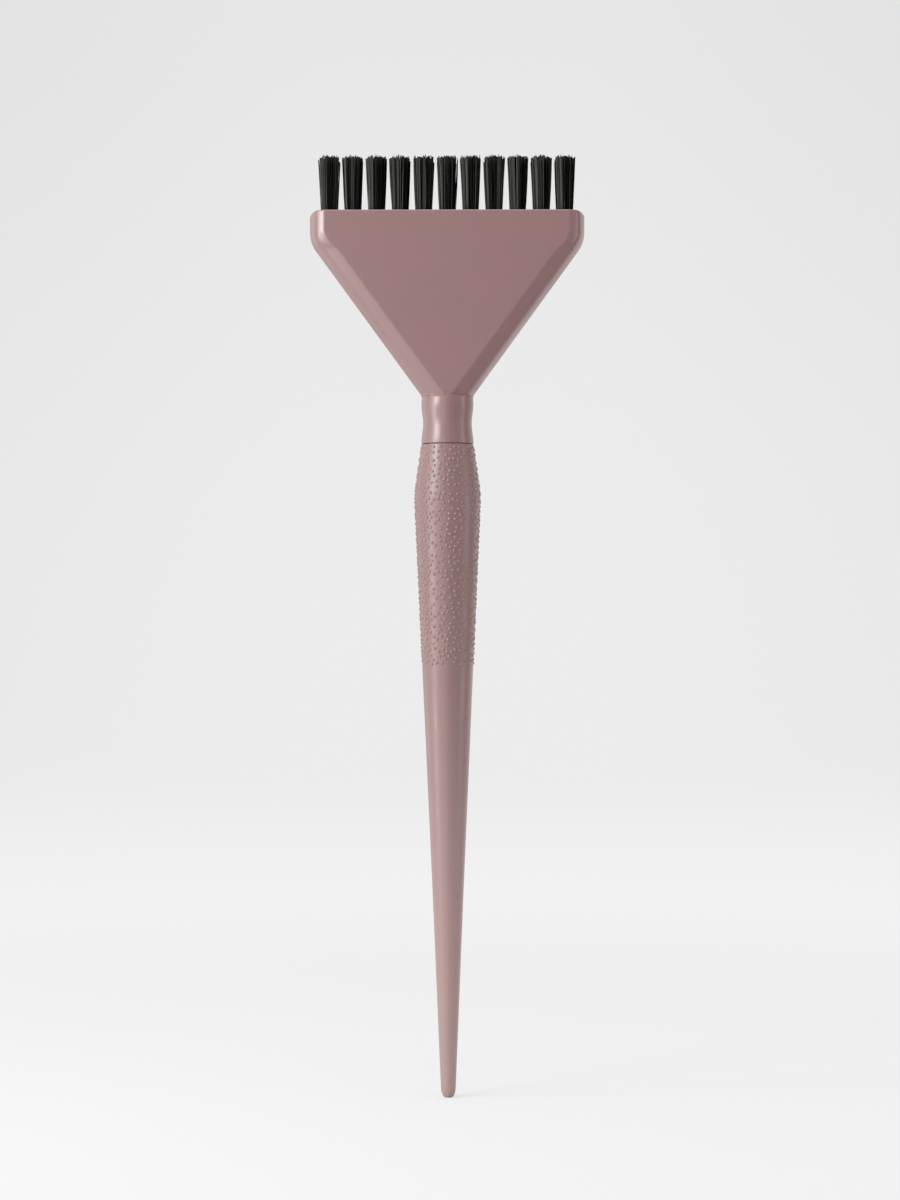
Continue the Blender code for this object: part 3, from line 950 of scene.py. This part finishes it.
def grip_profile():
    """The outside of the handle, from the rim at the seam down to the tip's flat."""
    path = rounded_path(
        [
            (SOCKET_RADIUS, HANDLE_TOP, 0),
            (GRIP_TOP_RADIUS, HANDLE_TOP, RIM_RADIUS),
            (GRIP_RADIUS, HANDLE_TOP - GRIP_DROP, GRIP_ARC),
            (TAPER_RADIUS, TAPER_HEIGHT, TAPER_ARC),
            (TIP_RADIUS, TIP_LENGTH, 0),
        ]
    )
    for step in range(1, TIP_STEPS + 1):
        angle = math.pi / 2 * step / TIP_STEPS
        radius = TIP_FLAT + (TIP_RADIUS - TIP_FLAT) * math.cos(angle)
        path.append(Vector((radius, TIP_LENGTH * (1 - math.sin(angle)))))
    return path


def socket_profile():
    """The inside of the handle, from the socket's floor up past the groove for the bead."""
    bead = SOCKET_RADIUS + BEAD_HEIGHT
    return [
        Vector((0, SOCKET_FLOOR)),
        Vector((SOCKET_RADIUS, SOCKET_FLOOR)),
        Vector((SOCKET_RADIUS, BEAD_MIDDLE - BEAD_HALF)),
        Vector((bead, BEAD_MIDDLE - BEAD_HALF + BEAD_HEIGHT)),
        Vector((bead, BEAD_MIDDLE + BEAD_HALF - BEAD_HEIGHT)),
        Vector((SOCKET_RADIUS, BEAD_MIDDLE + BEAD_HALF)),
    ]


outside = grip_profile()
handle_points = [(r, 0, z) for r, z in socket_profile() + outside + [Vector((0, 0))]]
handle = turned_mesh("handle_moulding", handle_points, HANDLE_STEPS)
as_piece(handle, "handle_plastic", handle_rose, "handle")
print("handle profile points:", len(handle_points))

# %% [markdown]
# The grip's dots are small moulded domes, scattered without a pattern and all round. They break the
# outline of the grip, so a bump in the material would not do: each is a closed dome that stands square
# to the surface. Darts are thrown at the grip, and one that lands too near another is dropped. A seed
# keeps the scatter the same each time.

# %% Scatter the grip dots
DOT_ZONE_LENGTH = 0.0551
DOT_ZONE_START = 0.0008  # below the seam
DOT_RADIUS = 0.00042
DOT_HEIGHT = 0.00021
DOT_SINK = 0.00004
DOT_APART = 0.00104
DOT_COUNT = 1180
DOT_SIDES = 14
DOT_RINGS = 5
DOT_SIZES = (0.88, 1.1)  # smallest and largest share of the dot's size
DOT_SEED = 11


def scatter_dots(draw):
    """Centres of dots and the directions they face."""
    cells = {}
    dots = []
    top = HANDLE_TOP - DOT_ZONE_START
    while len(dots) < DOT_COUNT:
        z = top - DOT_ZONE_LENGTH * draw.random()
        angle = draw.uniform(0, math.tau)
        radius, slope = side_at(outside, z)
        centre = Vector((radius * math.cos(angle), radius * math.sin(angle), z))
        cell = tuple(int(c // DOT_APART) for c in centre)
        near = (
            other
            for x in range(cell[0] - 1, cell[0] + 2)
            for y in range(cell[1] - 1, cell[1] + 2)
            for k in range(cell[2] - 1, cell[2] + 2)
            for other in cells.get((x, y, k), ())
        )
        if any((other - centre).length < DOT_APART for other in near):
            continue
        cells.setdefault(cell, []).append(centre)
        facing = Vector((math.cos(angle), math.sin(angle), slope)).normalized()
        dots.append((centre, facing))
    return dots


def dome_points(size):
    """Rings of a closed dome along +Z, from its sunk foot to the last ring below its top."""
    ball = (DOT_RADIUS**2 + DOT_HEIGHT**2) / (2 * DOT_HEIGHT)
    reach = math.asin(DOT_RADIUS / ball)
    rings = [(DOT_RADIUS * size, -DOT_SINK)]
    for ring in range(DOT_RINGS):
        angle = reach * (1 - ring / DOT_RINGS)
        height = DOT_HEIGHT - ball * (1 - math.cos(angle))
        rings.append((size * ball * math.sin(angle), size * height))
    return rings


def walls(first, rings, sides):
    """Faces between rings of points, where the first ring starts at an index."""
    for ring in range(rings - 1):
        for side in range(sides):
            a = first + ring * sides + side
            b = first + ring * sides + (side + 1) % sides
            yield (a, b, b + sides, a + sides)


def ring_points(radius, height, sides):
    """A level ring of points round the Z axis."""
    angles = (math.tau * side / sides for side in range(sides))
    return [Vector((radius * math.cos(angle), radius * math.sin(angle), height)) for angle in angles]


def dots_mesh(name, dots, draw):
    points, faces = [], []
    for centre, facing in dots:
        size = draw.uniform(*DOT_SIZES)
        spin = facing.to_track_quat("Z", "Y")
        first = len(points)
        rings = dome_points(size)
        for radius, height in rings:
            points += [centre + spin @ offset for offset in ring_points(radius, height, DOT_SIDES)]
        top = len(points)
        points.append(centre + spin @ Vector((0, 0, DOT_HEIGHT * size)))
        faces += walls(first, len(rings), DOT_SIDES)
        last = top - DOT_SIDES
        faces += [(last + side, last + (side + 1) % DOT_SIDES, top) for side in range(DOT_SIDES)]
        faces.append(tuple(first + side for side in reversed(range(DOT_SIDES))))
    mesh = bpy.data.meshes.new(name)
    mesh.from_pydata(points, [], faces)
    mesh.shade_smooth()
    return mesh


dot_draw = random.Random(DOT_SEED)
grip_dots = scatter_dots(dot_draw)
dot_piece = add_object("grip_dots", dots_mesh("grip_dots", grip_dots, dot_draw))
as_piece(dot_piece, "handle_plastic", dot_rose)
print("grip dots:", len(grip_dots), "faces:", len(dot_piece.data.polygons))

# %% [markdown]
# A tuft is a bundle of nylon filaments, folded in half under a flat brass anchor and driven into its hole.
# Above the hole the bundle opens a little, and its tips are cut almost level. Filaments cling together, so
# each leans towards the middle of its clump. A hair system could draw it, but real tubes export as a mesh,
# so each filament is a five-sided tube on a slightly bowed line. Each carries two numbers for the material:
# its own shade, which holds painted light and painted glints, and how far along a point lies.

# %% Build one tuft of filaments
STRANDS = 210
STRAND_RADIUS = 0.00010
STRAND_SIDES = 5
STRAND_STEPS = 5
STRAND_FOOT = -0.0013  # below the top face
STRAND_BOW = 0.00006
STRAND_TURN = 0.2  # how far a filament strays round the tuft, in radians
CLUMPS = 22
CLUMP_STRAY = 0.06  # of a clump's middle, as a share of the tuft's radius
FOOT_PULL = 0.16  # how far filaments lean to the middle of their clump at the foot
TIP_PULL = 0.36  # and at the tip
PLUG_TOP = -0.0010
PLUG_RADIUS = 0.00198
PLUG_GAP = 0.0002  # to the anchor and to the hole's floor
TUFT_FOOT_RADIUS = 0.00198
TUFT_TIP_RADIUS = 0.00270
TUFT_SHARP_ANGLE = math.radians(75)
TIP_STRAY = 0.00011
TIP_ROUNDING = 0.00080  # how much lower the tuft's rim can be cut than its middle
TIP_ROUNDING_POWER = 6  # how near the rim that starts
TIP_UNEVEN = 0.00100
TIP_UNEVEN_POWER = 0.35  # below 1, so that few filaments are long
PAINTED_LIT_SIDE = -0.32  # clumps further left than this, as a share of the tuft's radius, are painted pale: painted light from the lamps' side
PAINTED_LIT_TONES = (0.55, 0.85)
MIXED_SHARE = 0.30  # of the other clumps
MIXED_TONES = (0.25, 0.50)
DARK_TONES = (0.0, 0.04)
STRAND_TONES = (0.65, 1.15)  # of its clump's tone, in one filament
STRAND_SHADE = 0.12  # the most that one adds to it
GLINT_SHARE = 0.07  # of the filaments that get a painted glint
GLINT_TONES = (0.5, 1.0)
GLINT_SHADE = 0.55  # the most that a painted glint adds
GOLDEN_ANGLE = math.pi * (3 - math.sqrt(5))
BRISTLE_LENGTH = BRISTLE_TIP - HEAD_TOP


def sunflower(index, count, turn=0.0):
    """An even spot in a disc of radius 1."""
    share = math.sqrt((index + 0.5) / count)
    angle = index * GOLDEN_ANGLE + turn
    return Vector((share * math.cos(angle), share * math.sin(angle), 0))


def wobble(draw, size):
    """A small level step in any direction."""
    return Vector((draw.gauss(0, size), draw.gauss(0, size), 0))


def strand_line(spot, clump, draw):
    """Points of one filament, from its foot in the hole to its tip."""
    foot = spot.lerp(clump, FOOT_PULL) * TUFT_FOOT_RADIUS
    tip = spot.lerp(clump, TIP_PULL) * TUFT_TIP_RADIUS + wobble(draw, TIP_STRAY)
    if tip.length > TUFT_TIP_RADIUS:
        tip *= TUFT_TIP_RADIUS / tip.length
    rounding = TIP_ROUNDING * draw.random() * spot.length**TIP_ROUNDING_POWER
    uneven = TIP_UNEVEN * draw.random() ** TIP_UNEVEN_POWER
    foot.z = STRAND_FOOT
    tip.z = BRISTLE_LENGTH - (rounding + uneven)
    bow = wobble(draw, STRAND_BOW)
    line = []
    for step in range(STRAND_STEPS):
        along = step / (STRAND_STEPS - 1)
        line.append(foot.lerp(tip, along) + bow * 4 * along * (1 - along))
    return line


def add_tube(points, faces, line, radius, sides):
    """Adds a capped tube along a line that runs mostly upwards."""
    first = len(points)
    for middle in line:
        points += [middle + offset for offset in ring_points(radius, 0, sides)]
    faces += walls(first, len(line), sides)
    last = len(points) - sides
    faces.append(tuple(first + side for side in reversed(range(sides))))
    faces.append(tuple(last + side for side in range(sides)))


def clump_spots(turn, draw):
    return [sunflower(i, CLUMPS, turn) + wobble(draw, CLUMP_STRAY) for i in range(CLUMPS)]


def clump_shade(spot, draw):
    """Tone of a clump from 0 to 1: pale towards the lamps' side as painted light, else mostly dark with a
    few pale ones at random.
    """
    if spot.x < PAINTED_LIT_SIDE:
        return draw.uniform(*PAINTED_LIT_TONES)
    if draw.random() < MIXED_SHARE:
        return draw.uniform(*MIXED_TONES)
    return draw.uniform(*DARK_TONES)


def tuft_mesh(name, draw):
    """A tuft's filaments, and its packed foot above and below the anchor."""
    points, faces, shades = [], [], []
    turn = draw.uniform(0, math.tau)
    clumps = [(spot, clump_shade(spot, draw)) for spot in clump_spots(turn, draw)]
    for index in range(STRANDS):
        spot = sunflower(index, STRANDS, draw.uniform(-STRAND_TURN, STRAND_TURN))
        clump, tone = min(clumps, key=lambda entry: (entry[0] - spot).length)
        shade = tone * draw.uniform(*STRAND_TONES) + STRAND_SHADE * draw.random() ** 2
        # a few filaments get a painted glint in their shade
        if draw.random() < GLINT_SHARE:
            shade += GLINT_SHADE * draw.uniform(*GLINT_TONES)
        add_tube(points, faces, strand_line(spot, clump, draw), STRAND_RADIUS, STRAND_SIDES)
        for step in range(STRAND_STEPS):
            shades += [shade, step / (STRAND_STEPS - 1), 0.0, 1.0] * STRAND_SIDES
    anchor_low, anchor_high = (corner.z - HEAD_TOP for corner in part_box("anchor_front_01"))
    plugs = ((anchor_high + PLUG_GAP, PLUG_TOP), (PLUG_GAP - HOLE_DEPTH, anchor_low - PLUG_GAP))
    for low, high in plugs:
        add_tube(points, faces, [Vector((0, 0, low)), Vector((0, 0, high))], PLUG_RADIUS, HOLE_SIDES)
        shades += [0.0, 0.0, 0.0, 1.0] * (2 * HOLE_SIDES)
    mesh = bpy.data.meshes.new(name)
    mesh.from_pydata(points, [], faces)
    strand = mesh.attributes.new("strand", "FLOAT_COLOR", "POINT")
    strand.data.foreach_set("color", shades)
    mesh.shade_smooth()
    mesh.set_sharp_from_angle(angle=TUFT_SHARP_ANGLE)
    return mesh


print("filaments in a tuft:", STRANDS, "length shown:", round(1000 * BRISTLE_LENGTH, 1), "mm")

# %% [markdown]
# Black nylon is not flat black. Filaments that shine are a green-grey, the rest nearly black, and the cut
# tips are a little dusty. Gloss on threads this fine takes many samples to draw, so most of it is painted
# into the shade number instead: clumps towards the lamps are painted paler as painted light, and a few
# single filaments get a painted glint. The drawn lines break up what gloss is left, and the last part of
# the length is paler.

# %% Mix the bristle nylon
NYLON_DARK = (0.0008, 0.0010, 0.0006)
# the palest tone, reached where the shade number holds painted light and painted glints
NYLON_LIGHT = (0.112, 0.114, 0.101)
NYLON_TIP = (0.060, 0.062, 0.054)
NYLON_SHINE = 0.03
NYLON_ROUGHNESS = (0.28, 0.42)
TIP_STARTS = 0.85  # share of the length where the dusty tip starts
TIP_DUST = 0.25


def bristle_nylon():
    material, tree, shader = plain_shader("bristle_nylon")
    strand = new_node(tree, "ShaderNodeAttribute")
    strand.attribute_name = "strand"
    numbers = new_node(tree, "ShaderNodeSeparateColor")
    join(tree, strand, "Color", numbers, "Color")
    body = mix_colours(tree, numbers.outputs["Red"], NYLON_DARK, NYLON_LIGHT)
    tip = span_node(tree, numbers.outputs["Green"], TIP_STARTS, 1.0, 0.0, TIP_DUST)
    tree.links.new(mix_colours(tree, tip, body, NYLON_TIP), shader.inputs["Base Color"])
    lines = group_node(tree, line_group, Pitch=0.00012, Stretch=40.0)
    gloss = span_node(tree, lines.outputs["Lines"], 0.0, 1.0, *NYLON_ROUGHNESS)
    tree.links.new(gloss, shader.inputs["Roughness"])
    shader.inputs["Specular IOR Level"].default_value = NYLON_SHINE
    return material


nylon = bristle_nylon()
print("nylon:", nylon.name)

# %% [markdown]
# Every hole gets its own tuft, with its own seed, so no two are alike. The piece takes the place of the
# simple tuft in the measured solids.

# %% Plant the tufts
TUFT_SEED = 100

for number, (name, place) in enumerate(hole_places.items()):
    tuft_draw = random.Random(TUFT_SEED + number)
    tuft = add_object("bristles_" + name, tuft_mesh("bristles_" + name, tuft_draw))
    tuft.location = (place.x, place.y, HEAD_TOP)
    as_piece(tuft, "bristles", nylon, "tuft_" + name)
print("tufts:", len(hole_places), "filaments in all:", len(hole_places) * STRANDS)

# %% [markdown]
# The anchors are short cuts of flat brass wire, hidden in the holes. Their solids are already right, so
# they stay and only get a finish: brass, a little brown in patches, with short streaks from drawing.

# %% Finish the brass anchors
BRASS = (0.62, 0.45, 0.20)
BRASS_BROWN = (0.40, 0.26, 0.11)
BRASS_ROUGHNESS = (0.25, 0.42)


def drawn_brass():
    material, tree, shader = plain_shader("drawn_brass")
    lines = group_node(tree, line_group, Pitch=0.00015, Stretch=4.0)
    grain = group_node(tree, grain_group, Grain_Size=0.0002, Patch_Size=0.0015)
    colour = mix_colours(tree, grain.outputs["Tone"], BRASS_BROWN, BRASS)
    tree.links.new(colour, shader.inputs["Base Color"])
    gloss = span_node(tree, lines.outputs["Lines"], 0.0, 1.0, *BRASS_ROUGHNESS)
    tree.links.new(gloss, shader.inputs["Roughness"])
    shader.inputs["Metallic"].default_value = 1.0
    bump = add_node(tree, "ShaderNodeBump", Strength=0.3, Distance=0.00001)
    join(tree, lines, "Lines", bump, "Height")
    join(tree, bump, "Normal", shader, "Normal")
    return material


brass = drawn_brass()
for name in hole_places:
    anchor = frame["nodes"]["anchor_" + name]
    anchor.data.materials.clear()
    anchor.data.materials.append(brass)
print("anchors finished:", len(hole_places))

# %% [markdown]
# A finer surface must not change the brush's size. The last step prints how much the dressed brush's box
# differs from the box of the measured solids.

# %% Compare the sizes and finish
low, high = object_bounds()
print("grew by mm:", [round(1000 * (b - a), 2) for a, b in zip(cad_high - cad_low, high - low)])
